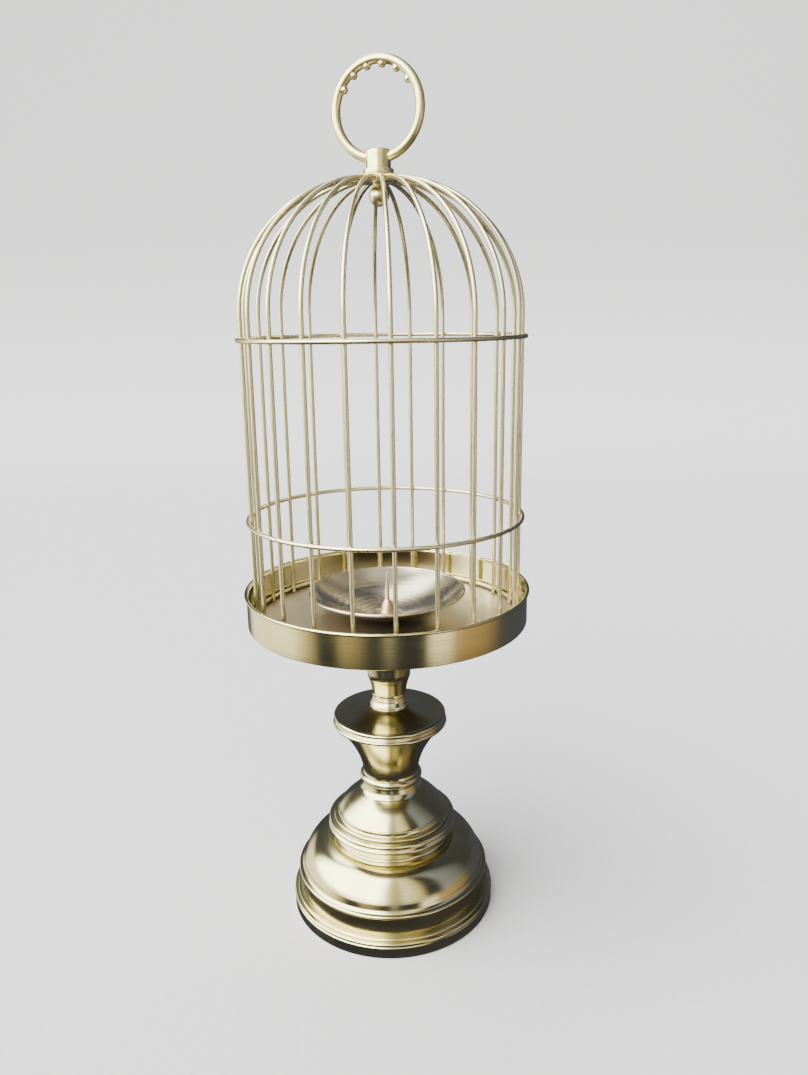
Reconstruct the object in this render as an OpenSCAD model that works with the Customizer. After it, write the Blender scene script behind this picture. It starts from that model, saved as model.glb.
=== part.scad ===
// Turned pedestal with a shallow tray, a candle dish and a lift-off wire bird cage.
// Origin: centre of the foot's underside. +Z up, -Y is the front. Millimetres.

/* [Pedestal foot] */
// radius of the foot where it stands
foot_r = 68; // [56:0.5:84]
// height of the hollow foot, up to the seat of the bell
foot_h = 48.5; // [40:0.5:60]
// distance of the rounded edge moulding above the cove, in from the foot's radius
foot_step_in = 4.9; // [4:0.1:9]
// height of that edge moulding
foot_step_z = 26; // [22:0.1:28]
// height of the lower of the two rim mouldings
foot_rim_z = 9.2; // [7:0.1:10]
// wall of the hollow castings
cast_wall = 3; // [2.4:0.1:3.6]

/* [Pedestal stem] */
// radius of the largest ring on the bell
bell_r = 43; // [36:0.5:52]
// height of the bell, from the foot to the stem's lower joint
bell_h = 38.5; // [32:0.5:48]
// radius of the narrow end of the bell
waist_r = 18.6; // [15:0.1:21]
// radius of the double-edged saucer
saucer_r = 37.6; // [30:0.1:45]
// height of the saucer piece
saucer_h = 54; // [45:0.5:66]
// radius of the collar that sits on the saucer
collar_r = 12.9; // [12:0.1:14.5]
// narrowest radius of the neck
neck_r = 10.9; // [9:0.1:12]
// height of the neck and cup piece
neck_h = 62; // [51:0.5:75]
// radius of the cup where it meets the tray
cup_r = 20; // [16:0.5:24]

/* [Tie rod] */
// thread diameter of the rod that clamps the stack
rod_d = 5; // [4:0.5:6]
// radial clearance of the rod in the holes it passes through
rod_gap = 0.3; // [0.2:0.05:0.5]
// radial clearance left in a threaded joint
thread_gap = 0.05; // [0.02:0.01:0.1]
// clamping washer diameter
washer_d = 22; // [16:1:28]
// clamping washer thickness
washer_t = 1.6; // [1:0.1:2.5]
// width of the nut across its flats
nut_w = 9; // [8:0.5:12]
// nut height
nut_h = 4.5; // [3.5:0.5:6]

/* [Tray] */
// outer radius of the tray wall
tray_r = 88.5; // [73:0.5:108]
// height of the tray wall, to the centre of the rolled lip
tray_wall_h = 20.4; // [14:0.1:26]
// sheet thickness of the tray
tray_t = 1.2; // [0.8:0.1:1.8]
// radius of the rolled lip's section
lip_r = 1; // [0.8:0.1:1.4]
// radial gap left between parts that are soldered together
solder_gap = 0.05; // [0.02:0.01:0.1]

/* [Dish] */
// rim diameter of the candle dish
dish_d = 100; // [83:1:120]
// height of the dish from the tray floor to its rim
dish_h = 17.2; // [13:0.1:21]
// sheet thickness of the dish
dish_t = 1.2; // [1:0.1:1.6]
// height of the spike above the dish's flat centre
spike_h = 27.6; // [22:0.1:34]
// radius of the spike where it leaves its foot
spike_r = 1.3; // [1:0.1:1.8]
// radius of the spike's foot
spike_foot_r = 4.6; // [4.2:0.1:7]

/* [Cage] */
// gap all round between the cage's hoops and the inside of the tray wall
cage_gap = 1.4; // [0.8:0.1:3]
// wire diameter, for the upright wires and the hoops
wire_d = 2.6; // [2:0.1:3.2]
// number of upright wires
wire_count = 22; // [16:1:27]
// turn of the first wire from the front
wire_turn = 3; // [0:0.5:16]
// height of the straight part of each wire
wire_straight_h = 185.9; // [150:0.1:240]
// radius of the bend that makes the dome, as a share of the circle of wires
bend_share = 0.906; // [0.84:0.002:0.94]
// drop of the top hoop below the line where the wires start to bend
hoop_top_drop = 12.7; // [4:0.1:40]
// height of the middle hoop above the tray floor
hoop_middle_h = 65.8; // [40:0.1:100]
// gap under the bottom hoop, which the wire ends stand clear by
hoop_bottom_gap = 0.5; // [0.3:0.1:2]
// depth of the seats filed in a hoop for the wires
hoop_seat = 0.4; // [0.2:0.05:0.6]

/* [Crown and handle] */
// depth of the sockets in the hub that hold the wire ends
socket_depth = 1.6; // [1.2:0.1:2.5]
// gap between neighbouring wires where they end in the hub
wire_end_gap = 0.32; // [0.3:0.02:1]
// metal left above and below the wires in the hub
hub_wall = 0.6; // [0.5:0.1:1.6]
// radius of the finial's round flange
flange_r = 8.7; // [8:0.1:10.5]
// thickness of that flange
flange_t = 3.4; // [2.5:0.1:4.5]
// radius of the finial's post
post_r = 7.1; // [6.2:0.1:7.8]
// height of the finial's post above the flange
post_h = 10.2; // [9.4:0.1:13]
// outer diameter of the ring handle
ring_d = 56.4; // [46:0.2:68]
// thickness of the ring handle's rod
ring_t = 5.3; // [4.6:0.1:5.8]
// turn of the ring handle about the upright axis
ring_turn = -23; // [-45:1:45]
// number of beads inside the ring's upper arc
bead_count = 6; // [2:1:8]
// radius of each bead
bead_r = 2.2; // [1.6:0.1:2.6]
// angle from one bead to the next
bead_step = 22.7; // [16:0.1:26]
// turn of the row of beads round the ring, away from its top
bead_shift = -3; // [-20:1:20]
// diameter of the ball nut under the hub
ball_d = 11.6; // [10:0.1:15]
// diameter of the stud that joins the ball nut to the finial
stud_d = 4; // [3:0.5:5]

/* [Hidden] */
$fn = 96;

foot_step_r = foot_r - foot_step_in;

// heights of the stack, from the bench up
bell_z = foot_h;
saucer_z = bell_z + bell_h;
neck_z = saucer_z + saucer_h;
tray_z = neck_z + neck_h;
floor_z = tray_z + tray_t;
wall_in_r = tray_r - tray_t;
bore_r = rod_d / 2 + rod_gap;
thread_r = rod_d / 2 + thread_gap;

// clamping nut and washer under the foot's top plate
plate_z = foot_h - cast_wall;
washer_z = plate_z - washer_t;
nut_z = washer_z - nut_h;
rod_z0 = nut_z - 3;
spike_z = floor_z + dish_t;
rod_z1 = spike_z + 4;

// dish: part of a sphere, flattened where it stands
dish_rim_bead = 0.9;
dish_flat = 0.6;
dish_rim_r = dish_d / 2 - dish_rim_bead;
dish_rise = dish_h + dish_flat - dish_rim_bead;
dish_R = (dish_rim_r * dish_rim_r + dish_rise * dish_rise) / (2 * dish_rise);

// hoops stand inside the tray wall, and the wires inside the hoops
hoop_R = wall_in_r - cage_gap - wire_d / 2;
cage_r = hoop_R - wire_d + hoop_seat;

// wire line: upright, then one long bend over the dome that ends in the hub's sockets
bend_r = bend_share * cage_r;
bend_x = cage_r - bend_r;
spring_z = floor_z + wire_straight_h;
wire_end_r = wire_count * (wire_d + wire_end_gap) / (2 * PI);
hub_r = wire_end_r + socket_depth;
end_deg = acos((wire_end_r - bend_x) / bend_r);
socket_r = wire_end_r + socket_depth / 2;
socket_deg = acos((socket_r - bend_x) / bend_r);
socket_z = spring_z + bend_r * sin(socket_deg);

hub_t = wire_d + 2 * hub_wall;
hub_z1 = socket_z + hub_t / 2;
hub_z0 = hub_z1 - hub_t;
ball_neck_h = 1.2;
flange_z1 = hub_z1 + flange_t;
post_z1 = flange_z1 + post_h;
ring_R = (ring_d - ring_t) / 2;
ring_low_z = flange_z1 + post_h / 2 + 0.25;
ring_z = ring_low_z + ring_R;
stud_z0 = hub_z0 - ball_neck_h - ball_d * 0.62;
ball_z = hub_z0 - ball_neck_h - ball_d / 2;
stud_z1 = ring_low_z - ring_t / 2 - 0.8;
stud_bore_r = stud_d / 2 + thread_gap;

stand_nodes = ["foot", "bell", "saucer_stem", "neck_cup", "tie_rod", "tie_washer", "tie_nut",
    "tray_floor", "tray_wall", "dish", "spike"];
cage_nodes = ["hoop_bottom", "hoop_middle", "hoop_top", "hub", "finial", "finial_stud", "ball_nut",
    "ring_handle"];
function wire_name(i) = str("wire_", i < 10 ? "0" : "", i);

// points of a curve from a to c that leaves along a-b and arrives along b-c
function sweep(a, b, c, n = 8) = [for (i = [0:n]) let (t = i / n)
    (1 - t) * (1 - t) * a + 2 * t * (1 - t) * b + t * t * c];

brass = [0.78, 0.68, 0.42];
pale_brass = [0.86, 0.79, 0.58];
steel = [0.62, 0.62, 0.6];

// a plain hole on the axis
module bore(r, z0, z1) {
    translate([0, 0, z0 - 1]) cylinder(r = r, h = z1 - z0 + 2);
}

// Foot: hollow, with two rim mouldings, a cove, an edge moulding and a low dome.
module foot() {
    rim_r = 1.6;
    seat_r = bell_r - 1.5;
    color(brass) difference() {
        rotate_extrude() difference() {
            union() {
                polygon(concat(
                    [[0, 0], [foot_r, 0], [foot_r, foot_rim_z - 1.6], [foot_r - 0.7, foot_rim_z + 1.3],
                     [foot_step_r + 1.8, foot_rim_z + 1.6], [foot_step_r + 0.2, foot_rim_z + 2.2],
                     [foot_step_r - 0.4, foot_rim_z + 3]],
                    [[foot_step_r - 0.3, foot_step_z - 1]],
                    sweep([foot_step_r + 0.1, foot_step_z + 1.1], [foot_step_r - 2.2, foot_step_z + 1.8],
                          [foot_step_r - 2.4, foot_step_z + 5], 6),
                    sweep([foot_step_r - 2.5, foot_step_z + 5.8], [foot_step_r - 8, foot_h - 1],
                          [seat_r, foot_h]),
                    [[0, foot_h]]));
                translate([foot_r - rim_r + 0.2, foot_rim_z]) circle(r = rim_r);
                translate([foot_step_r + 1.3, foot_rim_z + 1.5]) circle(r = 1.3);
                translate([foot_step_r, foot_step_z]) circle(r = 1.2);
            }
            polygon(concat(
                [[0, -1], [foot_r - cast_wall, -1], [foot_r - cast_wall, foot_rim_z],
                 [foot_step_r - cast_wall - 1.6, foot_rim_z + 8], [foot_step_r - cast_wall - 1.6, foot_step_z + 4]],
                sweep([foot_step_r - cast_wall - 2.6, foot_step_z + 6], [foot_step_r - 10, plate_z - 1],
                      [seat_r - 4, plate_z]),
                [[0, plate_z]]));
        }
        bore(bore_r, plate_z, foot_h);
    }
}

// Bell: stands on the foot, four rings at its edge, then a swelling body up to the waist.
module bell() {
    edge_r = bell_r - 7;
    color(brass) difference() {
        translate([0, 0, bell_z]) rotate_extrude() difference() {
            union() {
                polygon(concat(
                    [[0, 0], [bell_r - 4.5, 0]],
                    sweep([bell_r - 5, 0.8], [bell_r - 5.4, 6.2], [bell_r - 1.6, 7.4]),
                    [[bell_r - 1.4, 10], [bell_r - 2.2, 12.6], [bell_r - 4.4, 14], [bell_r - 4.8, 15.4]],
                    sweep([bell_r - 5.4, 15.8], [edge_r - 0.2, 16], [edge_r - 0.2, 18.4], 5),
                    sweep([edge_r - 0.5, 19.6], [edge_r - 5, bell_h - 12.3], [waist_r + 3.2, bell_h - 5.9], 10),
                    sweep([waist_r + 2.4, bell_h - 5.4], [waist_r + 0.3, bell_h - 3.6], [waist_r, bell_h], 6),
                    [[0, bell_h]]));
                translate([bell_r - 1.3, 8.6]) circle(r = 1.3);
                translate([bell_r - 2.3, 12]) circle(r = 1.9);
                translate([bell_r - 4.9, 14.9]) circle(r = 1);
                translate([edge_r - 0.5, 19]) circle(r = 0.7);
            }
            polygon(concat(
                [[0, -1], [bell_r - 8, -1], [bell_r - 8, 10], [edge_r - cast_wall, 17]],
                sweep([edge_r - cast_wall - 0.6, 18.4], [edge_r - 9, bell_h - 16], [waist_r + 0.6, bell_h - 10.5]),
                [[waist_r - cast_wall, bell_h - 9], [waist_r - cast_wall, bell_h - 5], [0, bell_h - 5]]));
        }
        bore(bore_r, saucer_z - 5, saucer_z);
    }
}

// Saucer stem: a bead at the foot, a flaring waist and a double-edged saucer.
module saucer_stem() {
    rim_z = saucer_h - 10;
    color(brass) difference() {
        translate([0, 0, saucer_z]) rotate_extrude() union() {
            polygon(concat(
                [[0, 0], [waist_r, 0], [waist_r, 8.6]],
                sweep([waist_r, 9], [waist_r + 1.6, 24], [saucer_r - 3.4, rim_z - 2.6], 12),
                [[saucer_r - 1.6, rim_z - 1.4], [saucer_r - 2.2, rim_z + 2.2], [saucer_r - 2, rim_z + 4.2]],
                sweep([saucer_r - 3, rim_z + 5.6], [saucer_r - 20, rim_z + 6.8], [collar_r + 0.2, saucer_h], 10),
                [[0, saucer_h]]));
            translate([waist_r - 0.7, 4.3]) circle(r = 2.9);
            translate([saucer_r - 1.6, rim_z]) circle(r = 1.6);
            translate([saucer_r - 2.2, rim_z + 4.4]) circle(r = 1.5);
        }
        bore(bore_r, saucer_z, neck_z);
    }
}

// Neck and cup: a collar, a slim neck and a cup that carries the tray.
module neck_cup() {
    color(brass) difference() {
        translate([0, 0, neck_z]) rotate_extrude() polygon(concat(
            [[0, 0], [collar_r - 0.6, 0], [collar_r, 0.8], [collar_r, 2.4]],
            sweep([collar_r - 0.2, 3], [neck_r + 0.6, 4.6], [neck_r + 0.3, 6.8], 6),
            [[neck_r, 7.3], [neck_r, 8.3], [neck_r + 0.3, 8.8]],
            sweep([neck_r + 0.1, 9.6], [neck_r + 0.7, 15.5], [neck_r + 2.5, 20], 8),
            sweep([neck_r + 3, 21.2], [neck_r + 4.8, neck_h - 16], [cup_r - 1, neck_h - 4], 8),
            [[cup_r, neck_h - 3.4], [cup_r, neck_h], [0, neck_h]]));
        bore(bore_r, neck_z, tray_z);
    }
}

// Threaded rod on the axis, from below the foot's plate up into the spike.
module tie_rod() {
    color(steel) translate([0, 0, rod_z0]) cylinder(d = rod_d, h = rod_z1 - rod_z0);
}

module tie_washer() {
    color(steel) difference() {
        translate([0, 0, washer_z]) cylinder(d = washer_d, h = washer_t);
        bore(bore_r, washer_z, plate_z);
    }
}

module tie_nut() {
    color(steel) difference() {
        translate([0, 0, nut_z]) cylinder(d = nut_w / cos(30), h = nut_h, $fn = 6);
        bore(thread_r, nut_z, washer_z);
    }
}

// Tray: a flat disc soldered inside a straight wall with a rolled lip.
module tray_floor() {
    color(brass) difference() {
        translate([0, 0, tray_z]) cylinder(r = wall_in_r - solder_gap, h = tray_t);
        bore(bore_r, tray_z, floor_z);
    }
}

module tray_wall() {
    color(brass) translate([0, 0, tray_z]) rotate_extrude() union() {
        translate([wall_in_r, 0]) square([tray_t, tray_wall_h]);
        translate([tray_r - tray_t / 2 + 0.9, tray_wall_h]) circle(r = lip_r);
    }
}

// Dish: a shallow spun bowl with a flat centre and a small rolled rim.
module dish() {
    centre_z = dish_R - dish_flat;
    color(pale_brass) difference() {
        translate([0, 0, floor_z]) rotate_extrude() union() {
            difference() {
                intersection() {
                    translate([0, centre_z]) circle(r = dish_R);
                    square([dish_rim_r, dish_h - dish_rim_bead]);
                }
                intersection() {
                    translate([0, centre_z]) circle(r = dish_R - dish_t);
                    translate([-1, dish_t]) square([dish_d, dish_d]);
                }
            }
            translate([dish_rim_r, dish_h - dish_rim_bead]) circle(r = dish_rim_bead);
        }
        bore(bore_r, floor_z, spike_z);
    }
}

// Spike: screws on to the rod and clamps dish and tray; the candle is pushed on to it.
module spike() {
    foot_top = 9;
    color(pale_brass) difference() {
        translate([0, 0, spike_z]) rotate_extrude() polygon(concat(
            [[0, 0], [spike_foot_r, 0], [spike_foot_r, 1.2]],
            sweep([spike_foot_r - 0.3, 1.8], [spike_foot_r - 1, foot_top - 2.5], [spike_r, foot_top]),
            [[spike_r * 0.85, spike_h * 0.7], [0.25, spike_h - 0.2], [0, spike_h]]));
        translate([0, 0, spike_z - 1]) cylinder(r = thread_r, h = rod_z1 - spike_z + 1.2);
    }
}

// One upright wire of the cage, standing at angle a.
module wire(a) {
    color(pale_brass) rotate([0, 0, a]) union() {
        translate([cage_r, 0, floor_z]) cylinder(d = wire_d, h = wire_straight_h);
        translate([bend_x, 0, spring_z]) rotate([90, 0, 0])
            rotate_extrude(angle = end_deg) translate([bend_r, 0]) circle(d = wire_d);
    }
}

function wire_angle(i) = -90 + wire_turn + (i - 1) * 360 / wire_count;

// A hoop outside the wires, with a shallow seat filed for each of them.
module hoop(z) {
    color(pale_brass) difference() {
        translate([0, 0, z]) rotate_extrude() translate([hoop_R, 0]) circle(d = wire_d);
        for (i = [1:wire_count]) rotate([0, 0, wire_angle(i)])
            translate([cage_r, 0, z - wire_d]) cylinder(r = wire_d / 2 + solder_gap, h = 2 * wire_d);
    }
}

module hoop_bottom() hoop(floor_z + hoop_bottom_gap + wire_d / 2);
module hoop_middle() hoop(floor_z + hoop_middle_h);
module hoop_top() hoop(spring_z - hoop_top_drop);

// Hub: a small disc at the top of the dome, drilled on its edge for the wire ends.
module hub() {
    color(brass) difference() {
        translate([0, 0, hub_z0]) cylinder(r = hub_r, h = hub_t);
        bore(stud_d / 2 + rod_gap, hub_z0, hub_z1);
        for (i = [1:wire_count]) rotate([0, 0, wire_angle(i)])
            translate([socket_r, 0, socket_z]) rotate([0, -socket_deg, 0])
                translate([0, 0, -socket_depth / 2 - 1.5])
                cylinder(r = wire_d / 2 + solder_gap, h = socket_depth + 1.6);
    }
}

// Finial: flange and post that hold the ring handle.
module finial() {
    color(brass) difference() {
        translate([0, 0, hub_z1]) rotate_extrude() union() {
            square([flange_r - 0.8, flange_t]);
            translate([0, 0.8]) square([flange_r, flange_t - 1.6]);
            square([post_r, flange_t + post_h - 1.2]);
            square([post_r - 1.2, flange_t + post_h]);
            intersection() {
                translate([post_r - 1.2, flange_t + post_h - 1.2]) circle(r = 1.2);
                square([post_r, flange_t + post_h]);
            }
            intersection() {
                translate([flange_r - 0.8, 0.8]) circle(r = 0.8);
                square([flange_r, flange_t]);
            }
            intersection() {
                translate([flange_r - 0.8, flange_t - 0.8]) circle(r = 0.8);
                square([flange_r, flange_t]);
            }
        }
        rotate([0, 0, ring_turn]) translate([0, 0, ring_z]) rotate([90, 0, 0])
            rotate_extrude() translate([ring_R, 0]) circle(d = ring_t + 2 * solder_gap);
        translate([0, 0, hub_z1 - 1]) cylinder(r = stud_bore_r, h = stud_z1 - hub_z1 + 1.2);
    }
}

module finial_stud() {
    color(steel) translate([0, 0, stud_z0]) cylinder(d = stud_d, h = stud_z1 - stud_z0);
}

// Ball nut: a ball with a short round neck that bears on the hub from inside the cage.
module ball_nut() {
    neck = ball_d * 0.3;
    color(brass) difference() {
        union() {
            translate([0, 0, ball_z]) sphere(d = ball_d);
            translate([0, 0, ball_z]) cylinder(r = neck, h = hub_z0 - ball_z);
        }
        translate([0, 0, stud_z0 - 0.2]) cylinder(r = stud_bore_r, h = hub_z0 - stud_z0 + 1);
    }
}

// Ring handle: one round rod, with beads inside its upper arc.
module ring_handle() {
    bead_at = ring_R - ring_t / 2 + 0.1;
    color(brass) rotate([0, 0, ring_turn]) translate([0, 0, ring_z]) union() {
        rotate([90, 0, 0]) rotate_extrude() translate([ring_R, 0]) circle(d = ring_t);
        for (i = [0:bead_count - 1]) rotate([0, (i - (bead_count - 1) / 2) * bead_step + bead_shift, 0])
            translate([0, 0, bead_at]) sphere(r = bead_r);
    }
}

foot();
bell();
saucer_stem();
neck_cup();
tie_rod();
tie_washer();
tie_nut();
tray_floor();
tray_wall();
dish();
spike();
hoop_bottom();
hoop_middle();
hoop_top();
hub();
finial();
finial_stud();
ball_nut();
ring_handle();
for (i = [1:wire_count]) wire(wire_angle(i));
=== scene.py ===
"""Brass bird cage with a candle dish on a turned pedestal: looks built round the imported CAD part."""

import math

import bmesh
import bpy
from mathutils import Matrix, Vector


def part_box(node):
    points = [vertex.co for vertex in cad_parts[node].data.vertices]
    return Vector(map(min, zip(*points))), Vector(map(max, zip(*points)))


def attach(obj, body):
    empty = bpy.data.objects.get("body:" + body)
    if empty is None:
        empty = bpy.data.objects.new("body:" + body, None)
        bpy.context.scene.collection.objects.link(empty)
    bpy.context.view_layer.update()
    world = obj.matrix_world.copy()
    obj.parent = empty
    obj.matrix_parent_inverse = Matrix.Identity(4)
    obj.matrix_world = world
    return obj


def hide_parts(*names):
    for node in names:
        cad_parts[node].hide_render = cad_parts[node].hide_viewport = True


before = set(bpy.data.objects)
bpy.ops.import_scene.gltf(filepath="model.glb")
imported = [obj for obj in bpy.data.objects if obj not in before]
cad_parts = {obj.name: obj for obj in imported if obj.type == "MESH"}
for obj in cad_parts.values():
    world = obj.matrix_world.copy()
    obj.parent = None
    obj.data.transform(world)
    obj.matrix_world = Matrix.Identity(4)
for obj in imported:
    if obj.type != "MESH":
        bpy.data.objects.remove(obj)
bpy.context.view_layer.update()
MM = 0.001

# ---------------------------------------------------------------- camera

# from the upright axis and from the floor, in metres
CAMERA_BACK = 0.5182
CAMERA_UP = 0.3889
CAMERA_PITCH = math.radians(14.512)
CAMERA_YAW = math.radians(1.237)
CAMERA_ROLL = math.radians(-0.875)
IMAGE_WIDTH = 808
FOCAL_LENGTH = 851.8  # in units of the image's width over IMAGE_WIDTH
SENSOR_WIDTH = 36.0


def place_camera():
    """Camera in front of the cage, a little above its middle, looking slightly down."""
    data = bpy.data.cameras.new("camera")
    data.sensor_fit = "HORIZONTAL"
    data.sensor_width = SENSOR_WIDTH
    data.lens = FOCAL_LENGTH / IMAGE_WIDTH * SENSOR_WIDTH
    data.clip_start = 0.01
    camera = bpy.data.objects.new("camera", data)
    bpy.context.collection.objects.link(camera)
    cp, sp = math.cos(CAMERA_PITCH), math.sin(CAMERA_PITCH)
    cy, sy = math.cos(CAMERA_YAW), math.sin(CAMERA_YAW)
    forward = Vector((sy * cp, cy * cp, -sp))
    right = Vector((cy, -sy, 0))
    up = right.cross(forward)
    cr, sr = math.cos(CAMERA_ROLL), math.sin(CAMERA_ROLL)
    tilted_right = right * cr + up * sr
    tilted_up = up * cr - right * sr
    turn = Matrix((tilted_right, tilted_up, -forward)).transposed().to_4x4()
    camera.matrix_world = Matrix.Translation((0, -CAMERA_BACK, CAMERA_UP)) @ turn
    bpy.context.scene.camera = camera


# ---------------------------------------------------------------- node helpers


def group(name, inputs, outputs):
    """A shader node group with its sockets; returns the tree and its two ends."""
    tree = bpy.data.node_groups.new(name, "ShaderNodeTree")
    for label, kind, value in inputs:
        socket = tree.interface.new_socket(label, in_out="INPUT", socket_type=kind)
        socket.default_value = value
    for label, kind in outputs:
        tree.interface.new_socket(label, in_out="OUTPUT", socket_type=kind)
    start = tree.nodes.new("NodeGroupInput")
    end = tree.nodes.new("NodeGroupOutput")
    return tree, start.outputs, end.inputs


FLOAT, COLOUR = "NodeSocketFloat", "NodeSocketColor"


def feed(tree, socket, value):
    """Gives a socket a plain value, or links it where the value is another socket."""
    if isinstance(value, (int, float, tuple)):
        socket.default_value = value
    else:
        tree.links.new(value, socket)


def maths(tree, operation, a, b=None, clamp=False):
    """A math node; a and b are sockets or numbers."""
    node = tree.nodes.new("ShaderNodeMath")
    node.operation = operation
    node.use_clamp = clamp
    feed(tree, node.inputs[0], a)
    if b is not None:
        feed(tree, node.inputs[1], b)
    return node.outputs[0]


def add(tree, a, b):
    return maths(tree, "ADD", a, b)


def times(tree, a, b, clamp=False):
    return maths(tree, "MULTIPLY", a, b, clamp)


def span(tree, value, low, high, to_low=0.0, to_high=1.0):
    """Maps low..high on to to_low..to_high and stops there."""
    node = tree.nodes.new("ShaderNodeMapRange")
    for socket, v in zip(node.inputs, (value, low, high, to_low, to_high)):
        feed(tree, socket, v)
    return node.outputs[0]


def blend_colours(tree, amount, a, b):
    """Mixes two colours; each of the three is a socket or a value."""
    node = tree.nodes.new("ShaderNodeMix")
    node.data_type = "RGBA"
    factor, first, second = (node.inputs[i] for i in (0, 6, 7))
    feed(tree, factor, amount)
    feed(tree, first, a)
    feed(tree, second, b)
    return node.outputs[2]


def noise(tree, vector, scale, detail=2.0, rough=0.5):
    """A noise texture's value over the given coordinates."""
    node = tree.nodes.new("ShaderNodeTexNoise")
    node.inputs["Scale"].default_value = scale
    node.inputs["Detail"].default_value = detail
    node.inputs["Roughness"].default_value = rough
    tree.links.new(vector, node.inputs["Vector"])
    return node.outputs["Fac"]


def axis_places(tree):
    """The three object coordinates and the distance from the upright axis, in metres."""
    place = tree.nodes.new("ShaderNodeTexCoord").outputs["Object"]
    parts = tree.nodes.new("ShaderNodeSeparateXYZ")
    tree.links.new(place, parts.inputs[0])
    x, y, z = parts.outputs
    radius = maths(tree, "SQRT", add(tree, times(tree, x, x), times(tree, y, y)))
    return x, y, z, radius


def join(tree, x, y, z):
    """A vector from three sockets or numbers."""
    node = tree.nodes.new("ShaderNodeCombineXYZ")
    for socket, v in zip(node.inputs, (x, y, z)):
        feed(tree, socket, v)
    return node.outputs[0]


# ---------------------------------------------------------------- shared effects


def make_lathe_lines():
    """Fine rings left by the turning tool and the polishing wheel, running round the upright axis."""
    tree, given, out = group(
        "lathe_lines",
        [("Fine", FLOAT, 4.0), ("Coarse", FLOAT, 0.5), ("Drift", FLOAT, 0.03)],
        [("Height", FLOAT), ("Streak", FLOAT)],
    )
    x, y, z, radius = axis_places(tree)
    # Fine, Coarse and Drift are counted per millimetre
    drift = times(tree, given["Drift"], 1000)
    wander_x = times(tree, x, drift)
    wander_y = times(tree, y, drift)

    def rings(pitch):
        per = times(tree, pitch, 1000)
        along = times(tree, z, per)
        outward = times(tree, radius, per)
        return join(tree, add(tree, outward, wander_x), add(tree, along, wander_y), wander_x)

    fine = noise(tree, rings(given["Fine"]), 1.0, 3.0, 0.6)
    coarse = noise(tree, rings(given["Coarse"]), 1.0, 2.0, 0.5)
    height = add(tree, times(tree, fine, 0.6), times(tree, coarse, 0.4))
    tree.links.new(height, out["Height"])
    tree.links.new(span(tree, coarse, 0.3, 0.7), out["Streak"])
    return tree


def make_antique_tone_and_shade():
    """Brass that has been coloured and rubbed back: pale on worn edges and clouded between, with painted
    shade in dark brown where ambient occlusion finds hollows.
    """
    tree, given, out = group(
        "antique_tone_and_painted_shade",
        [
            ("Body", COLOUR, (0.6, 0.5, 0.3, 1)),
            ("Rubbed", COLOUR, (0.8, 0.74, 0.55, 1)),
            ("Hollow", COLOUR, (0.2, 0.14, 0.08, 1)),
            ("Cloud Size", FLOAT, 60.0),
            ("Cloud", FLOAT, 0.35),
            ("Wear", FLOAT, 0.6),
            # the next two inputs set the strength of the painted shade in hollows and how far its ambient
            # occlusion looks
            ("Grime", FLOAT, 0.6),
            ("Reach", FLOAT, 0.003),
        ],
        [("Colour", COLOUR), ("Wear Mask", FLOAT), ("Grime Mask", FLOAT), ("Cloud Mask", FLOAT)],
    )
    place = tree.nodes.new("ShaderNodeTexCoord").outputs["Object"]
    cloud_noise = tree.nodes.new("ShaderNodeTexNoise")
    cloud_noise.inputs["Detail"].default_value = 4.0
    tree.links.new(place, cloud_noise.inputs["Vector"])
    tree.links.new(given["Cloud Size"], cloud_noise.inputs["Scale"])
    cloud = span(tree, cloud_noise.outputs["Fac"], 0.35, 0.7)
    fine = noise(tree, place, 900.0, 3.0, 0.6)

    edge = tree.nodes.new("ShaderNodeNewGeometry").outputs["Pointiness"]
    broken_up = times(tree, maths(tree, "SUBTRACT", fine, 0.5), 0.03)
    worn = span(tree, add(tree, edge, broken_up), 0.51, 0.56)
    worn = times(tree, worn, given["Wear"], clamp=True)

    # painted shade: the colour is darkened toward Hollow where ambient occlusion finds nearby surfaces, made
    # patchy by the fine noise
    shade = tree.nodes.new("ShaderNodeAmbientOcclusion")
    shade.samples = 8
    tree.links.new(given["Reach"], shade.inputs["Distance"])
    closed = span(tree, shade.outputs["AO"], 0.85, 0.35)
    uneven = span(tree, fine, 0.3, 0.6, 0.6, 1.0)
    painted_shade = times(tree, times(tree, closed, uneven), given["Grime"], clamp=True)

    cloudy = times(tree, cloud, given["Cloud"])
    colour = blend_colours(tree, cloudy, given["Body"], given["Hollow"])
    colour = blend_colours(tree, worn, colour, given["Rubbed"])
    # painted shade laid into the colour in the hollows
    colour = blend_colours(tree, painted_shade, colour, given["Hollow"])
    tree.links.new(colour, out["Colour"])
    tree.links.new(worn, out["Wear Mask"])
    tree.links.new(painted_shade, out["Grime Mask"])
    tree.links.new(cloud, out["Cloud Mask"])
    return tree


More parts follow.
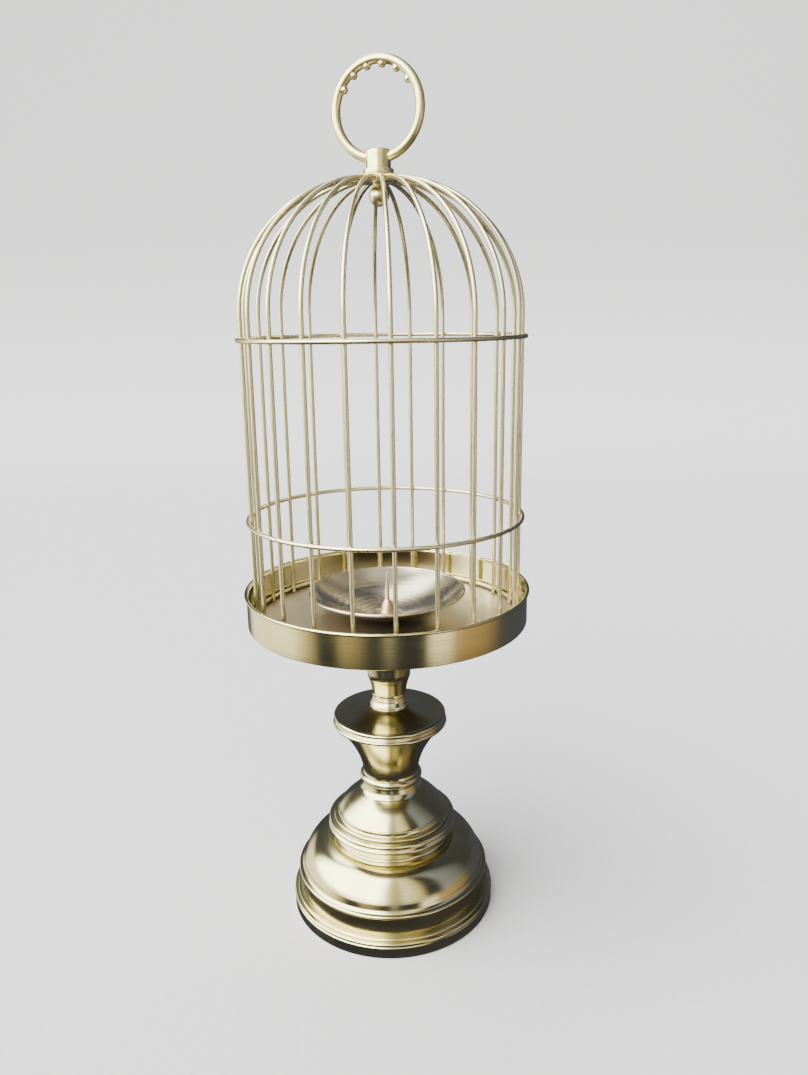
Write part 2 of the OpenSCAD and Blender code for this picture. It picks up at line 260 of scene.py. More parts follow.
def make_fine_scratches():
    """Hairline scratches from handling, in three directions and in patches."""
    tree, given, out = group(
        "fine_scratches",
        [("Scale", FLOAT, 300.0), ("Stretch", FLOAT, 0.05)],
        [("Height", FLOAT)],
    )
    place = tree.nodes.new("ShaderNodeTexCoord").outputs["Object"]
    layers = []
    for turn in ((0.3, 0.2, 0.4), (1.3, 0.7, 2.1), (2.2, 1.9, 0.9)):
        mapping = tree.nodes.new("ShaderNodeMapping")
        mapping.inputs["Rotation"].default_value = turn
        tree.links.new(place, mapping.inputs["Vector"])
        parts = tree.nodes.new("ShaderNodeSeparateXYZ")
        tree.links.new(mapping.outputs[0], parts.inputs[0])
        long_way = times(tree, parts.outputs[0], given["Stretch"])
        node = tree.nodes.new("ShaderNodeTexNoise")
        node.inputs["Detail"].default_value = 1.0
        stretched = join(tree, long_way, parts.outputs[1], parts.outputs[2])
        tree.links.new(stretched, node.inputs["Vector"])
        tree.links.new(given["Scale"], node.inputs["Scale"])
        line = maths(tree, "ABSOLUTE", maths(tree, "SUBTRACT", node.outputs["Fac"], 0.5))
        layers.append(span(tree, line, 0.0, 0.012, 1.0, 0.0))
    mask = maths(tree, "MAXIMUM", maths(tree, "MAXIMUM", layers[0], layers[1]), layers[2])
    patches = span(tree, noise(tree, place, 45.0, 2.0), 0.45, 0.6)
    mask = times(tree, mask, patches)
    tree.links.new(times(tree, mask, -1.0), out["Height"])
    return tree


LATHE_LINES = make_lathe_lines()
ANTIQUE_TONE_AND_SHADE = make_antique_tone_and_shade()
FINE_SCRATCHES = make_fine_scratches()


def use(tree, effect, **settings):
    """Places a shared effect in a material, with its own values."""
    node = tree.nodes.new("ShaderNodeGroup")
    node.node_tree = effect
    for label, value in settings.items():
        node.inputs[label.replace("_", " ")].default_value = value
    return node.outputs


# how much the shared effects change the roughness, and a scratch's depth next to a lathe line's
LINE_ROUGH = 0.06
RECESS_SHADE_ROUGH = 0.25
WEAR_POLISH = 0.06
SCRATCH_DEPTH = 0.3


def metal(name, tone, lines, rough, bump, rough_cloud=0.08):
    """A metal finish: tone and lines are the values for two shared effects, bump is the relief in mm."""
    material = bpy.data.materials.new(name)
    material.use_nodes = True
    tree = material.node_tree
    shader = tree.nodes["Principled BSDF"]
    shader.inputs["Metallic"].default_value = 1.0
    tint = use(tree, ANTIQUE_TONE_AND_SHADE, **tone)
    rings = use(tree, LATHE_LINES, **lines)
    marks = use(tree, FINE_SCRATCHES)
    streaked = blend_colours(tree, times(tree, rings["Streak"], 0.10), tint["Colour"], tone["Hollow"])
    tree.links.new(streaked, shader.inputs["Base Color"])
    either_way = maths(tree, "SUBTRACT", rings["Streak"], 0.5)
    roughness = add(tree, rough, times(tree, tint["Cloud Mask"], rough_cloud))
    roughness = add(tree, roughness, times(tree, either_way, LINE_ROUGH))
    # rougher where the painted shade darkens the hollows
    roughness = add(tree, roughness, times(tree, tint["Grime Mask"], RECESS_SHADE_ROUGH))
    polished = times(tree, tint["Wear Mask"], WEAR_POLISH)
    roughness = maths(tree, "SUBTRACT", roughness, polished, clamp=True)
    tree.links.new(roughness, shader.inputs["Roughness"])
    height = add(tree, rings["Height"], times(tree, marks["Height"], SCRATCH_DEPTH))
    relief = tree.nodes.new("ShaderNodeBump")
    relief.inputs["Strength"].default_value = 1.0
    relief.inputs["Distance"].default_value = bump * MM
    tree.links.new(height, relief.inputs["Height"])
    tree.links.new(relief.outputs[0], shader.inputs["Normal"])
    return material


# dark brown for clouding and lathe streaks, and the colour of the painted shade in hollows, whose strength
# each tone below sets
BRASS_HOLLOW = (0.09, 0.065, 0.04, 1)

turned_brass = metal(
    "turned_brass",
    tone=dict(
        Body=(0.64, 0.585, 0.30, 1),
        Rubbed=(0.88, 0.85, 0.58, 1),
        Hollow=BRASS_HOLLOW,
        Cloud=0.16, Cloud_Size=55.0, Wear=0.7, Grime=0.75,
    ),
    lines=dict(Fine=4.0, Coarse=0.6, Drift=0.02),
    rough=0.15,
    rough_cloud=0.05,
    bump=0.006,
)
brushed_band = metal(
    "brushed_band",
    tone=dict(
        Body=(0.64, 0.575, 0.28, 1),
        Rubbed=(0.89, 0.86, 0.58, 1),
        Hollow=BRASS_HOLLOW,
        Cloud=0.12, Cloud_Size=40.0, Wear=0.8, Grime=0.5,
    ),
    lines=dict(Fine=5.0, Coarse=1.2, Drift=0.008),
    rough=0.14,
    rough_cloud=0.05,
    bump=0.010,
)
tray_floor_brass = metal(
    "tray_floor_brass",
    tone=dict(
        Body=(0.42, 0.355, 0.25, 1),
        Rubbed=(0.56, 0.49, 0.35, 1),
        Hollow=BRASS_HOLLOW,
        Cloud=0.25, Cloud_Size=35.0, Wear=0.2, Grime=0.6, Reach=0.006,
    ),
    lines=dict(Fine=3.0, Coarse=0.7, Drift=0.03),
    rough=0.42,
    bump=0.012,
)
spun_dish_metal = metal(
    "spun_dish_metal",
    tone=dict(
        Body=(0.60, 0.54, 0.42, 1),
        Rubbed=(0.85, 0.81, 0.68, 1),
        Hollow=BRASS_HOLLOW,
        Cloud=0.15, Cloud_Size=70.0, Wear=0.8, Grime=0.4,
    ),
    lines=dict(Fine=2.5, Coarse=0.5, Drift=0.01),
    rough=0.16,
    bump=0.008,
)
wire_brass = metal(
    "wire_brass",
    tone=dict(
        Body=(0.76, 0.69, 0.42, 1),
        Rubbed=(0.88, 0.83, 0.60, 1),
        Hollow=BRASS_HOLLOW,
        Cloud=0.16, Cloud_Size=60.0, Wear=0.15, Grime=0.6, Reach=0.0015,
    ),
    lines=dict(Fine=0.6, Coarse=0.1, Drift=0.3),
    rough=0.25,
    bump=0.002,
)
cast_brass = metal(
    "cast_brass",
    tone=dict(
        Body=(0.80, 0.71, 0.33, 1),
        Rubbed=(0.92, 0.86, 0.55, 1),
        Hollow=BRASS_HOLLOW,
        Cloud=0.2, Cloud_Size=120.0, Wear=0.6, Grime=0.8, Reach=0.002,
    ),
    lines=dict(Fine=0.9, Coarse=0.3, Drift=0.4),
    rough=0.27,
    bump=0.004,
)
coppered_brass = metal(
    "coppered_brass",
    tone=dict(
        Body=(0.72, 0.50, 0.36, 1),
        Rubbed=(0.88, 0.70, 0.55, 1),
        Hollow=BRASS_HOLLOW,
        Cloud=0.25, Cloud_Size=200.0, Wear=0.6, Grime=0.8, Reach=0.002,
    ),
    lines=dict(Fine=1.5, Coarse=0.6, Drift=0.05),
    rough=0.28,
    bump=0.004,
)
plated_steel = metal(
    "plated_steel",
    tone=dict(
        Body=(0.50, 0.50, 0.49, 1),
        Rubbed=(0.7, 0.7, 0.7, 1),
        Hollow=(0.12, 0.10, 0.09, 1),
        Cloud=0.4, Cloud_Size=150.0,
    ),
    lines=dict(Fine=1.4, Coarse=1.25, Drift=0.02),
    rough=0.35,
    bump=0.12,
)

# ---------------------------------------------------------------- outlines

RING_STEPS = 288


def curve(a, b, c, n=14):
    """Points of a curve from a to c that leaves along a-b and arrives along b-c."""
    return [
        tuple((1 - t) ** 2 * a[k] + 2 * t * (1 - t) * b[k] + t * t * c[k] for k in (0, 1))
        for t in [i / n for i in range(n + 1)]
    ]


def arc(centre, radius, start, stop, n=12):
    """Points of an arc; angles in degrees, 0 outward and 90 upward."""
    angles = [math.radians(start + (stop - start) * i / n) for i in range(n + 1)]
    return [(centre[0] + radius * math.cos(a), centre[1] + radius * math.sin(a)) for a in angles]


def lathe(name, outline, material, node, body, lift=0.0, steps=RING_STEPS, sharp=32.0):
    """Turns a closed outline (radius, height in mm) about the upright axis, in place of a CAD node."""
    bm = bmesh.new()
    rings = []
    around = [(math.cos(math.tau * i / steps), math.sin(math.tau * i / steps)) for i in range(steps)]
    for radius, height in outline:
        z = (height + lift) * MM
        if radius == 0:
            rings.append([bm.verts.new((0, 0, z))] * steps)
            continue
        rings.append([bm.verts.new((radius * MM * c, radius * MM * s, z)) for c, s in around])
    for k in range(len(rings)):
        low, high = rings[k], rings[(k + 1) % len(rings)]
        if low[0] is low[1] and high[0] is high[1]:
            continue
        for i in range(steps):
            j = (i + 1) % steps
            corners = [low[i], low[j], high[j], high[i]]
            unique = [v for n, v in enumerate(corners) if v not in corners[:n]]
            if len(unique) > 2:
                bm.faces.new(unique)
    return stand_in(name, bm, material, node, body, sharp)


def stand_in(name, bm, material, node, body, sharp=32.0):
    """Finishes a piece: normals, smooth faces with sharp corners, material, body, and its CAD node."""
    bmesh.ops.recalc_face_normals(bm, faces=bm.faces)
    mesh = bpy.data.meshes.new(name)
    bm.to_mesh(mesh)
    bm.free()
    mesh.shade_smooth()
    mesh.set_sharp_from_angle(angle=math.radians(sharp))
    mesh.materials.append(material)
    piece = bpy.data.objects.new(name, mesh)
    bpy.context.collection.objects.link(piece)
    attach(piece, body)
    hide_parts(node)
    return piece


def low_z(node):
    """Height of the bottom of a CAD node, in mm."""
    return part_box(node)[0][2] / MM


def high_z(node):
    """Height of the top of a CAD node, in mm."""
    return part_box(node)[1][2] / MM


def widest(node):
    """Largest radius of a CAD node about the upright axis, in mm."""
    low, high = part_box(node)
    return max(high[0], -low[0]) / MM


# ---------------------------------------------------------------- pedestal

# sizes in mm that more than one turning shares
ROD_HOLE_R = 2.8
CAST_WALL = 3.0
BELL_R = 43.0
WAIST_R = 18.6
COLLAR_R = 12.9


def build_foot():
    """Flat base band, two mouldings, upright riser, edge moulding and low dome; hollow below."""
    foot_r = 68.0
    foot_h = high_z("foot")
    rim_z = 9.2
    step_r = foot_r - 4.9
    step_z = 26.0
    seat = BELL_R - 1.5
    wall = CAST_WALL
    plate = foot_h - wall
    outline = [(foot_r - wall, 0), (foot_r - 0.5, 0), (foot_r, 0.6), (foot_r, rim_z - 1.9)]
    outline += arc((foot_r - 1.4, rim_z), 1.6, -55, 50)
    outline += arc((step_r + 1.3, rim_z + 1.5), 1.3, -8, 110)
    outline += [(step_r - 0.4, rim_z + 3)]
    outline += [(step_r - 0.3, step_z - 1.5)]
    outline += arc((step_r, step_z), 1.2, -75, 62)
    outline += curve((step_r - 0.1, step_z + 1.3), (step_r - 2.2, step_z + 1.9), (step_r - 2.4, step_z + 5))
    outline += curve((step_r - 2.5, step_z + 5.8), (step_r - 8, foot_h - 1), (seat, foot_h), 24)
    outline += [(ROD_HOLE_R, foot_h), (ROD_HOLE_R, plate)]
    outline += curve((seat - 4, plate), (step_r - 10, plate - 1), (step_r - wall - 2.6, step_z + 6))
    riser_inside = step_r - wall - 1.6
    outline += [(riser_inside, step_z + 4), (riser_inside, rim_z + 8), (foot_r - wall, rim_z)]
    lathe("foot_turning", outline, turned_brass, "foot", "stand")


def build_bell():
    """Four rings at the edge under a near-straight cone; hollow, open below."""
    base = low_z("bell")
    bell_h = high_z("bell") - base
    bell_r = BELL_R
    waist = WAIST_R
    wall = CAST_WALL
    edge = bell_r - 7
    outline = [(bell_r - 8, 0), (bell_r - 4.5, 0)]
    outline += curve((bell_r - 5, 0.8), (bell_r - 5.4, 6.2), (bell_r - 1.6, 7.3), 10)
    outline += arc((bell_r - 1.3, 8.6), 1.3, -70, 50, 10)
    outline += arc((bell_r - 2.3, 12), 1.9, -48, 75, 12)
    outline += arc((bell_r - 4.9, 14.9), 1.0, -60, 100, 10)
    outline += curve((bell_r - 5.4, 15.9), (edge - 0.2, 16), (edge - 0.2, 18.2), 8)
    outline += arc((edge - 0.5, 19), 0.7, -50, 60, 10)
    outline += curve((edge - 0.5, 19.8), (edge - 5, bell_h - 12.3), (waist + 3.2, bell_h - 5.9), 26)
    outline += curve((waist + 2.4, bell_h - 5.4), (waist + 0.3, bell_h - 3.6), (waist, bell_h), 12)
    outline += [(ROD_HOLE_R, bell_h), (ROD_HOLE_R, bell_h - 5)]
    outline += [(waist - wall, bell_h - 5), (waist - wall, bell_h - 9)]
    outline += curve((waist + 0.6, bell_h - 10.5), (edge - 9, bell_h - 16), (edge - wall - 0.6, 18.4))
    outline += [(edge - wall, 17), (bell_r - 8, 10)]
    lathe("bell_turning", outline, turned_brass, "bell", "stand", lift=base)


def build_saucer():
    """Waist bead, flaring waist and a saucer with a double edge."""
    base = low_z("saucer_stem")
    tall = high_z("saucer_stem") - base
    saucer_r = 37.6
    waist = WAIST_R
    rim = tall - 10
    outline = [(ROD_HOLE_R, 0), (waist, 0), (waist, 1.4)]
    outline += arc((waist - 0.7, 4.3), 2.9, -72, 72, 16)
    outline += [(waist, 7.6)]
    outline += curve((waist, 9), (waist + 1.6, 24), (saucer_r - 3.4, rim - 2.6), 30)
    outline += [(saucer_r - 1.9, rim - 1.6)]
    outline += arc((saucer_r - 1.6, rim), 1.6, -80, 62, 12)
    outline += arc((saucer_r - 2.2, rim + 4.4), 1.5, -60, 88, 12)
    outline += curve((saucer_r - 3, rim + 5.7), (saucer_r - 20, rim + 6.8), (COLLAR_R + 0.2, tall), 24)
    outline += [(ROD_HOLE_R, tall)]
    lathe("saucer_turning", outline, turned_brass, "saucer_stem", "stand", lift=base)


def build_neck():
    """Collar, slim neck with one groove, and the cup that carries the tray."""
    base = low_z("neck_cup")
    tall = high_z("neck_cup") - base
    neck = 10.9
    cup = 20.0
    outline = [(ROD_HOLE_R, 0), (COLLAR_R - 0.6, 0), (COLLAR_R, 0.8), (COLLAR_R, 2.4)]
    outline += curve((COLLAR_R - 0.2, 3), (neck + 0.6, 4.6), (neck + 0.3, 6.8))
    outline += [(neck, 7.3), (neck, 8.3), (neck + 0.3, 8.8)]
    outline += curve((neck + 0.1, 9.6), (neck + 0.7, 15.5), (neck + 2.5, 20))
    outline += curve((neck + 3, 21.2), (neck + 4.8, tall - 16), (cup - 1, tall - 4))
    outline += [(cup, tall - 3.4), (cup, tall), (ROD_HOLE_R, tall)]
    lathe("neck_turning", outline, turned_brass, "neck_cup", "stand", lift=base)


# ---------------------------------------------------------------- tray, dish and spike


def build_tray():
    """Flat disc inside an upright band whose top edge is rolled outward."""
    low = low_z("tray_floor")
    high = high_z("tray_floor")
    edge = widest("tray_floor")
    disc = [(ROD_HOLE_R, low), (edge - 0.4, low), (edge, low + 0.4), (edge, high), (ROD_HOLE_R, high)]
    lathe("tray_disc", disc, tray_floor_brass, "tray_floor", "stand")

    wall_r = 88.5
    thick = 1.2
    lip = 1.0
    top = high_z("tray_wall") - lip
    centre = (wall_r - thick / 2 + 0.9, top)
    outline = [(wall_r - thick, low), (wall_r - 0.7, low)]
    outline += arc((wall_r - 0.7, low + 0.7), 0.7, -80, 0, 6)
    outline += [(wall_r, top - 1.2)]
    outline += arc(centre, lip, -72, 200, 24)
    outline += [(wall_r - thick, top - 0.9)]
    lathe("tray_band", outline, brushed_band, "tray_wall", "stand", steps=360)


def build_dish():
    """Spun bowl: part of a sphere with a small flat, a rolled rim and faint rings inside."""
    base = low_z("dish")
    rim_bead = 0.9
    flat = 0.6
    thick = 1.2
    rim_r = widest("dish") - rim_bead
    tall = high_z("dish") - base
    rise = tall + flat - rim_bead
    big = (rim_r**2 + rise**2) / (2 * rise)
    centre = big - flat

    def under(radius):
        return centre - math.sqrt(big**2 - radius**2)

    def inside(radius):
        bowl = centre - math.sqrt((big - thick) ** 2 - radius**2)
        past_middle = min(1, max(0, (radius - 9) / 6))
        before_rim = min(1, max(0, (rim_r - 3 - radius) / 3))
        ring = 0.012 * math.sin(radius * 1.6) * past_middle * before_rim
        return max(bowl + ring, thick)

    flat_r = math.sqrt(big**2 - centre**2)
    outer_steps = 40
    outer = [flat_r + (rim_r - 0.4 - flat_r) * i / outer_steps for i in range(1, outer_steps + 1)]
    inner_steps = 130
    inner = [rim_r - 1.3 - (rim_r - 1.3 - 3) * i / inner_steps for i in range(inner_steps + 1)]
    outline = [(ROD_HOLE_R, 0), (flat_r, 0)]
    outline += [(r, under(r)) for r in outer]
    outline += arc((rim_r, rise - flat), rim_bead, -75, 165, 14)
    outline += [(r, inside(r)) for r in inner]
    outline += [(ROD_HOLE_R, thick)]
    lathe("dish_bowl", outline, spun_dish_metal, "dish", "stand", lift=base, sharp=50)


def build_spike():
    """Pricket for a candle, flared at its foot."""
    base = low_z("spike")
    tall = high_z("spike") - base
    foot_r = 4.6
    foot_top = 9.0
    spike_r = 1.3
    outline = [(0, 0), (foot_r, 0), (foot_r, 1.2)]
    outline += curve((foot_r - 0.3, 1.8), (foot_r - 1, foot_top - 2.5), (spike_r, foot_top))
    outline += [(spike_r * 0.85, tall * 0.7), (0.3, tall - 0.6), (0.15, tall - 0.1), (0, tall)]
    lathe("candle_spike", outline, coppered_brass, "spike", "stand", lift=base, steps=64)


# ---------------------------------------------------------------- cage

# sizes in mm, to the wires' centre lines
CAGE_R = 82.4
WIRE_D = 2.6
WIRE_STRAIGHT = 185.9
WIRE_END_GAP = 0.32
# the dome's bend, as a share of the cage's radius
BEND_SHARE = 0.906
# how far the first wire stands from straight in front, in degrees
WIRE_TURN = 3.0
HOOP_SEAT = 0.4
WIRE_NODES = sorted(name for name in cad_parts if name.startswith("wire_"))
FLOOR_Z = high_z("tray_floor")


def wire_angle(i):
    """Bearing of a wire about the upright axis."""
    return math.radians(-90 + WIRE_TURN + i * 360 / len(WIRE_NODES))


def wire_path():
    """Centre line of a wire as (radius, height, tilt) from its foot to its end in the hub."""
    bend = BEND_SHARE * CAGE_R
    middle = CAGE_R - bend
    spring = FLOOR_Z + WIRE_STRAIGHT
    end_r = len(WIRE_NODES) * (WIRE_D + WIRE_END_GAP) / math.tau
    last = math.acos((end_r - middle) / bend)
    tilts = [last * i / 72 for i in range(1, 73)]
    path = [(CAGE_R, FLOOR_Z + h, 0.0) for h in (0.0, 0.25)]
    path += [(CAGE_R, FLOOR_Z + WIRE_STRAIGHT * i / 24, 0.0) for i in range(1, 25)]
    path += [(middle + bend * math.cos(a), spring + bend * math.sin(a), a) for a in tilts]
    return path


def skin(bm, low, high):
    """Faces between two rings of as many points."""
    for s in range(len(low)):
        t = (s + 1) % len(low)
        bm.faces.new((low[s], low[t], high[t], high[s]))


def build_wires():
    """Each wire stands on the tray and bends over into the hub; its foot is slightly bevelled."""
    path = wire_path()
    sides = 20
    foot_bevel = 0.18
    for index, node in enumerate(WIRE_NODES):
        turn = wire_angle(index)
        ca = math.cos(turn)
        sa = math.sin(turn)
        bm = bmesh.new()
        rings = []
        for k, (radius, height, tilt) in enumerate(path):
            half = WIRE_D / 2 - (foot_bevel if k == 0 else 0)
            ring = []
            for s in range(sides):
                a = math.tau * s / sides
                outward = half * math.cos(a)
                sideways = half * math.sin(a)
                r = radius + outward * math.cos(tilt)
                z = height + outward * math.sin(tilt)
                x = r * ca - sideways * sa
                y = r * sa + sideways * ca
                ring.append(bm.verts.new((x * MM, y * MM, z * MM)))
            rings.append(ring)
        for low, high in zip(rings, rings[1:]):
            skin(bm, low, high)
        bm.faces.new(rings[0])
        bm.faces.new(rings[-1])
        stand_in(node + "_rod", bm, wire_brass, node, "cage", sharp=40)


def build_hoops():
    """Three hoops round the outside of the wires."""
    hoop_r = CAGE_R + WIRE_D - HOOP_SEAT
    for node in ("hoop_bottom", "hoop_middle", "hoop_top"):
        centre = (low_z(node) + high_z(node)) / 2
        section = arc((hoop_r, centre), WIRE_D / 2, 0, 345, 23)
        lathe(node + "_rod", section, wire_brass, node, "cage", steps=360, sharp=60)


def build_hub():
    """Disc that the wires' ends are set in."""
    low = low_z("hub")
    high = high_z("hub")
    stud_hole_r = 2.3
    ease = 0.8
    edge = widest("hub") - ease
    outline = [(stud_hole_r, low), (edge, low)]
    outline += arc((edge, low + ease), ease, -80, 0, 6)
    outline += arc((edge, high - ease), ease, 0, 80, 6)
    outline += [(stud_hole_r, high)]
    lathe("hub_disc", outline, cast_brass, "hub", "cage", steps=128)


def build_finial():
    """Round flange and the post that grips the ring."""
    base = low_z("finial")
    top = high_z("finial")
    post = 7.1
    ease = 0.8
    edge = 8.7 - ease
    flange_top = base + 3.4
    outline = [(0, base), (edge, base)]
    outline += arc((edge, base + ease), ease, -80, 0, 6)
    outline += arc((edge, flange_top - ease), ease, 0, 80, 6)
    outline += [(post + 0.5, flange_top), (post + 0.1, flange_top + 0.3), (post, flange_top + 0.8)]
    outline += [(post, top - 1.6)]
    outline += arc((post - 1.4, top - 1.4), 1.4, 6, 84, 8)
    outline += [(0, top)]
    lathe("finial_post", outline, cast_brass, "finial", "cage", steps=128)


def build_ball_nut():
    """Ball under the hub, with a short neck."""
    base = low_z("ball_nut")
    top = high_z("ball_nut")
    ball = widest("ball_nut")
    middle = base + ball
    neck = ball * 0.6
    outline = [(0, base)] + arc((0, middle), ball, -88, 52, 40)
    outline += [(neck, middle + ball * 0.84), (neck, top), (0, top)]
    lathe("ball_knob", outline, cast_brass, "ball_nut", "cage", steps=96)


def build_ring():
    """Cast ring with beads inside its upper arc, turned a little about the upright axis."""
    ring_d = 56.4
    ring_t = 5.3
    turn = math.radians(-23)
    beads = 6
    bead_r = 2.2
    bead_step = 22.7
    bead_shift = -3
    middle = high_z("ring_handle") - ring_d / 2
    big = (ring_d - ring_t) / 2
    bm = bmesh.new()
    around, across = 160, 28
    rings = []
    for i in range(around):
        a = math.tau * i / around
        ring = []
        for s in range(across):
            b = math.tau * s / across
            r = big + ring_t / 2 * math.cos(b)
            ring.append(bm.verts.new((r * math.sin(a), ring_t / 2 * math.sin(b), r * math.cos(a))))
        rings.append(ring)
    for i in range(around):
        skin(bm, rings[i], rings[(i + 1) % around])
    bead_at = big - ring_t / 2 + 0.1
    for i in range(beads):
        a = math.radians((i - (beads - 1) / 2) * bead_step + bead_shift)
        place = Matrix.Translation((bead_at * math.sin(a), 0, bead_at * math.cos(a)))
        bmesh.ops.create_uvsphere(bm, u_segments=32, v_segments=20, radius=bead_r, matrix=place)
    place = Matrix.Translation((0, 0, middle)) @ Matrix.Rotation(turn, 4, "Z")
    bmesh.ops.transform(bm, matrix=Matrix.Scale(MM, 4) @ place, verts=bm.verts)
    piece = stand_in("ring_handle_cast", bm, cast_brass, "ring_handle", "cage", sharp=60)
    remesh(piece, voxel=0.32 * MM, smooth=0.6, rounds=6)


def remesh(piece, voxel, smooth, rounds):
    """Melts overlapping solids of one casting into a single skin with soft inner corners."""
    joined = piece.modifiers.new("skin", "REMESH")
    joined.mode = "VOXEL"
    joined.voxel_size = voxel
    joined.use_smooth_shade = True
    eased = piece.modifiers.new("ease", "SMOOTH")
    eased.factor = smooth
    eased.iterations = rounds
    bpy.context.view_layer.objects.active = piece
    piece.select_set(True)
    for modifier in (joined, eased):
        bpy.ops.object.modifier_apply(modifier=modifier.name)
    piece.select_set(False)


def finish_hardware():
    """The rod, washer, nut and stud keep their CAD shapes and get a plated finish."""
    for node in ("tie_rod", "tie_washer", "tie_nut", "finial_stud"):
        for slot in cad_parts[node].material_slots:
            slot.material = plated_steel


# ---------------------------------------------------------------- floor and light


def build_stage():
    """A pale floor that sweeps up into a backdrop."""
    front = -3.0
    back = 1.5
    rounding = 0.6
    top = 3.2
    half_width = 4
    bm = bmesh.new()
    outline = [(front, 0), (back, 0)]
    for a in [math.pi / 2 * i / 16 for i in range(1, 17)]:
        outline.append((back + rounding * math.sin(a), rounding - rounding * math.cos(a)))
    outline.append((back + rounding, top))
    rows = [[bm.verts.new((x, y, z)) for x in (-half_width, half_width)] for y, z in outline]
    for low, high in zip(rows, rows[1:]):
        bm.faces.new((low[0], low[1], high[1], high[0]))
    mesh = bpy.data.meshes.new("sweep")
    bm.to_mesh(mesh)
    bm.free()
    mesh.shade_smooth()
    material = bpy.data.materials.new("pale_paper")
    material.use_nodes = True
    tree = material.node_tree
    shader = tree.nodes["Principled BSDF"]
    place = tree.nodes.new("ShaderNodeTexCoord").outputs["Object"]
    grain = noise(tree, place, 260.0, 4.0, 0.6)
    paper = blend_colours(tree, span(tree, grain, 0.3, 0.7), (0.44, 0.44, 0.45, 1), (0.48, 0.48, 0.49, 1))
    tree.links.new(paper, shader.inputs["Base Color"])
    shader.inputs["Roughness"].default_value = 0.85
    mesh.materials.append(material)
    floor = bpy.data.objects.new("sweep", mesh)
    bpy.context.collection.objects.link(floor)
    floor.visible_glossy = False
    floor.visible_shadow = False


def softbox(name, place, aim, size, power, colour=(1, 1, 1)):
    """An area light at a place, facing a point."""
    data = bpy.data.lights.new(name, "AREA")
    data.shape = "RECTANGLE"
    data.size, data.size_y = size
    data.energy = power
    data.color = colour
    light = bpy.data.objects.new(name, data)
    bpy.context.collection.objects.link(light)
    light.location = place
    light.visible_glossy = False
    light.rotation_euler = (Vector(aim) - Vector(place)).to_track_quat("-Z", "Y").to_euler()


def ramp(tree, value, stops):
    """A colour ramp over value; stops are (place, colour, brightness)."""
    node = tree.nodes.new("ShaderNodeValToRGB")
    tree.links.new(value, node.inputs[0])
    marks = node.color_ramp.elements
    while len(marks) < len(stops):
        marks.new(0.5)
    for mark, (place, colour, bright) in zip(marks, stops):
        mark.position = place
        mark.color = (*(c * bright for c in colour), 1)
    return node.outputs[0]


WHITE = (1, 1, 0.98)
CREAM = (1, 0.96, 0.86)
GOLD = (1, 0.86, 0.56)
AMBER = (1, 0.70, 0.42)
SLATE = (0.62, 0.68, 1.0)
# brightness of the brightest card; a ramp holds shares of it
RAMP_FULL = 12.0

# cards round the object as (bearing, colour, brightness): 0 degrees is in front and + is to the right
LOW_CARDS = [
    (-180, SLATE, 0.12), (-150, SLATE, 0.1), (-138, CREAM, 2.2), (-84, CREAM, 3.0), (-70, GOLD, 1.5),
    (-56, SLATE, 0.1), (-44, SLATE, 0.08), (-36, GOLD, 0.8), (-26, GOLD, 0.6), (-14, SLATE, 0.1),
    (-6, SLATE, 0.1), (0, CREAM, 0.7), (8, SLATE, 0.1), (29, SLATE, 0.08), (36, CREAM, 2.3),
    (48, CREAM, 2.1), (56, AMBER, 0.9), (82, AMBER, 0.6), (104, SLATE, 0.2), (180, SLATE, 0.12),
]
HIGH_CARDS = [
    (-180, SLATE, 0.16), (-122, SLATE, 0.12), (-104, WHITE, 12), (-20, WHITE, 12), (-6, GOLD, 1.3),
    (6, GOLD, 0.9), (14, CREAM, 2.2), (32, GOLD, 1.5), (42, SLATE, 0.08), (56, SLATE, 0.08),
    (66, SLATE, 0.8), (86, SLATE, 0.5), (104, SLATE, 0.12), (180, SLATE, 0.16),
]


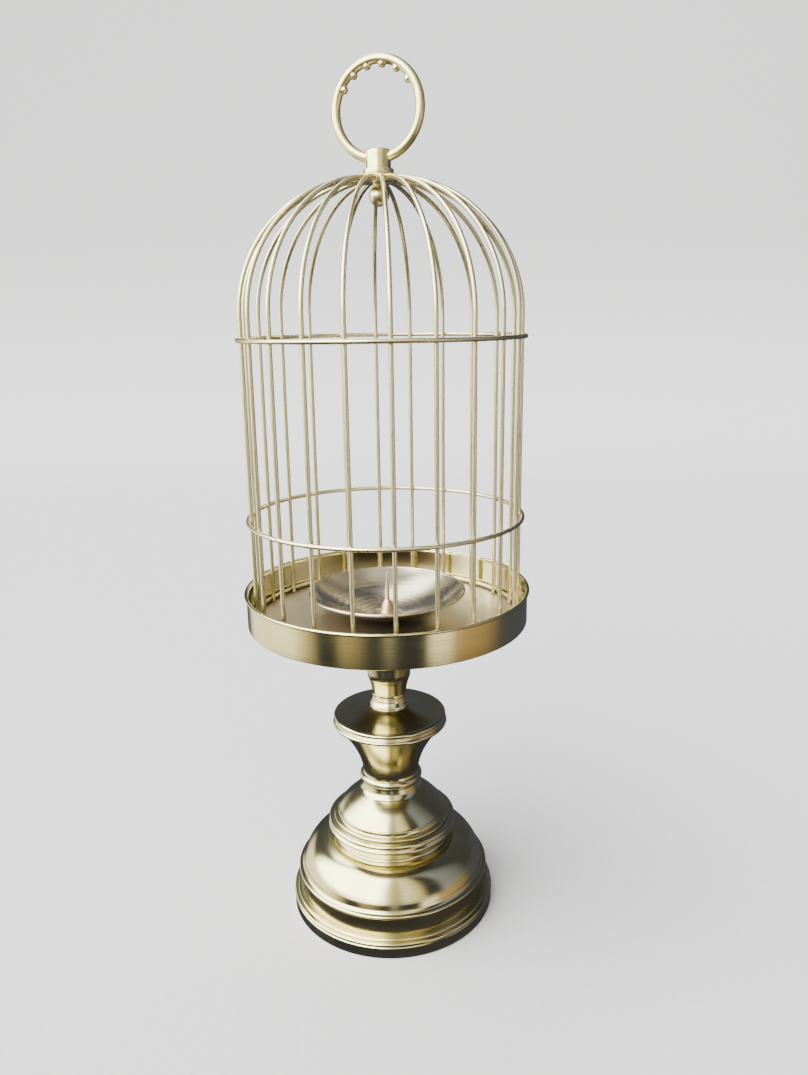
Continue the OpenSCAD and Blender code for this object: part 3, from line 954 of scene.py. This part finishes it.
def paint_air():
    """A dark studio with pale and warm cards round it, which the metal mirrors."""
    world = bpy.data.worlds.new("studio_air")
    world.use_nodes = True
    tree = world.node_tree
    way = tree.nodes.new("ShaderNodeTexCoord").outputs["Generated"]
    parts = tree.nodes.new("ShaderNodeSeparateXYZ")
    tree.links.new(way, parts.inputs[0])
    x, y, z = parts.outputs
    bearing = maths(tree, "ARCTAN2", x, times(tree, y, -1.0))
    turn = span(tree, bearing, -math.pi, math.pi)

    def cards(rows):
        stops = [((place + 180) / 360, colour, bright / RAMP_FULL) for place, colour, bright in rows]
        return ramp(tree, turn, stops)

    def share(colour, bright):
        return (*(c * bright / RAMP_FULL for c in colour), 1)

    # z is the height of a direction: 0 is level, 1 is straight up
    rise = span(tree, z, -0.02, 0.16)
    around = blend_colours(tree, rise, cards(LOW_CARDS), cards(HIGH_CARDS))
    overhead = span(tree, z, 0.93, 0.99)
    around = blend_colours(tree, overhead, around, share((1, 1, 1), 1.0))
    behind = times(tree, span(tree, z, 0.68, 0.76), span(tree, z, 0.94, 0.88))
    behind = times(tree, behind, span(tree, turn, 0.17, 0.13))
    around = blend_colours(tree, behind, around, (0.7, 0.7, 0.68, 1))
    under = span(tree, z, -0.42, -0.54)
    around = blend_colours(tree, under, around, share((0.78, 0.74, 1.0), 0.07))
    # past the floor's edge a viewer sees pale air, not the cards
    seen = tree.nodes.new("ShaderNodeLightPath").outputs["Is Camera Ray"]
    around = blend_colours(tree, seen, around, share((0.60, 0.60, 0.61), 1))
    back = tree.nodes["Background"]
    tree.links.new(around, back.inputs["Color"])
    back.inputs["Strength"].default_value = RAMP_FULL
    bpy.context.scene.world = world


def light_studio():
    """Three soft lights, with the painted air for the metal to mirror."""
    softbox("window_left", (-1.1, -0.8, 1.3), (0, 0, 0.2), (1.2, 1.2), 9, (1.0, 0.99, 0.97))
    softbox("overhead", (-0.1, 0.1, 1.8), (0, 0, 0.3), (1.6, 1.4), 5)
    softbox("backdrop_wash", (0.4, 0.9, 1.9), (0, 2.0, 0.6), (1.6, 0.8), 6)
    paint_air()


# ---------------------------------------------------------------- build


place_camera()
build_foot()
build_bell()
build_saucer()
build_neck()
build_tray()
build_dish()
build_spike()
build_wires()
build_hoops()
build_hub()
build_finial()
build_ball_nut()
build_ring()
finish_hardware()
build_stage()
light_studio()
